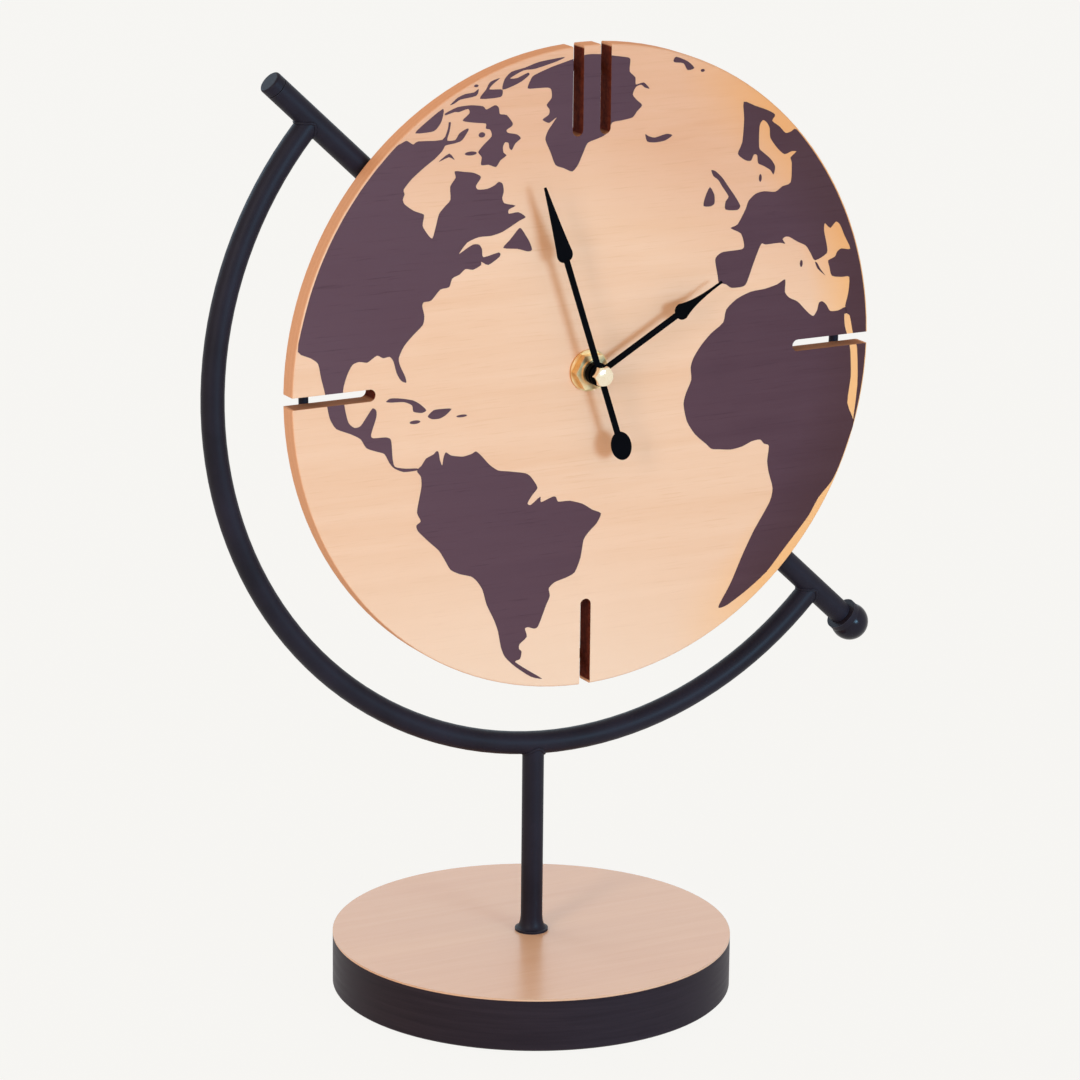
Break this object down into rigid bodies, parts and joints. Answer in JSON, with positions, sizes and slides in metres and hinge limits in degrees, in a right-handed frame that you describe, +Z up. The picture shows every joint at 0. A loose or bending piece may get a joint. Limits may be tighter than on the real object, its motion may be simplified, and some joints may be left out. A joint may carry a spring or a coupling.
{
  "type": "globe-stand table clock",
  "caption": "Table clock on a globe stand: a slotted wooden world-map dial with spade hands swivels on a tilted axle in a bent tube arc over a round base.",
  "frame": {"origin": "centre of the felt pad's underside, on the stem's axis, where the clock rests on the table", "axes": "+X to the viewer's right, +Y from the dial's front to its back, +Z up; the dial faces -Y and the axle lies in the X-Z plane, its upper end to the left"},
  "size_m": [0.2335, 0.125, 0.3],
  "materials": {
    "black_metal": "satin black powder coat",
    "hand_black": "matt black",
    "map_ink": "dark printed map on the dial's face",
    "dial_wood": "pale clear-lacquered ply with a printed map",
    "base_wood": "pale lacquered wood sheet",
    "base_paint": "dark painted edge",
    "felt": "black felt",
    "steel": "zinc-plated steel",
    "brass": "turned brass",
    "black_plastic": "black moulded plastic",
    "white_plastic": "white moulded gear plastic",
    "rubber": "black soft rubber",
    "cell_wrap": "printed-free plastic wrap"
  },
  "bodies": {
    "stand": {"base_block": "base_paint", "base_top": "base_wood", "base_pad": "felt", "stem": "black_metal", "stem_bolt": "steel", "bolt_washer": "steel", "meridian_arc": "black_metal", "upper_sleeve": "black_metal", "lower_sleeve": "black_metal"},
    "dial_body": {"dial": "dial_wood", "hoop": "black_metal", "hoop_clips": "steel", "clip_screws": "steel", "upper_axle": "black_metal", "lower_axle": "black_metal", "ball_finial": "black_metal", "shaft_bush": "brass", "gasket": "rubber", "dial_washer": "brass", "dial_nut": "brass", "movement_case": "black_plastic", "movement_cover": "black_plastic", "battery": "cell_wrap", "battery_contacts": "steel"},
    "minute_body": {"minute_arbor": "steel", "minute_hand": "hand_black", "hand_nut": "brass"},
    "hour_body": {"hour_wheel": "white_plastic", "hour_hand": "hand_black"},
    "setting_body": {"setting_arbor": "white_plastic", "setting_knob": "black_plastic"}
  },
  "joints": [
    {"name": "dial_swivel", "type": "hinge", "parent": "stand", "child": "dial_body", "pos_m": [0.012, 0, 0.2], "axis": [-0.7314, 0, 0.682], "continuous": true},
    {"name": "minute_turn", "type": "hinge", "parent": "dial_body", "child": "minute_body", "pos_m": [0.012, 0, 0.2], "axis": [0, 1, 0], "continuous": true},
    {"name": "hour_turn", "type": "hinge", "parent": "dial_body", "child": "hour_body", "pos_m": [0.012, 0, 0.2], "axis": [0, 1, 0], "continuous": true},
    {"name": "setting_turn", "type": "hinge", "parent": "dial_body", "child": "setting_body", "pos_m": [0.02499, 0, 0.2075], "axis": [0, 1, 0], "continuous": true}
  ],
  "couplings": [
    {"joint": "hour_turn", "follows": "minute_turn", "ratio": 0.083333},
    {"joint": "setting_turn", "follows": "minute_turn", "ratio": -0.33333}
  ]
}
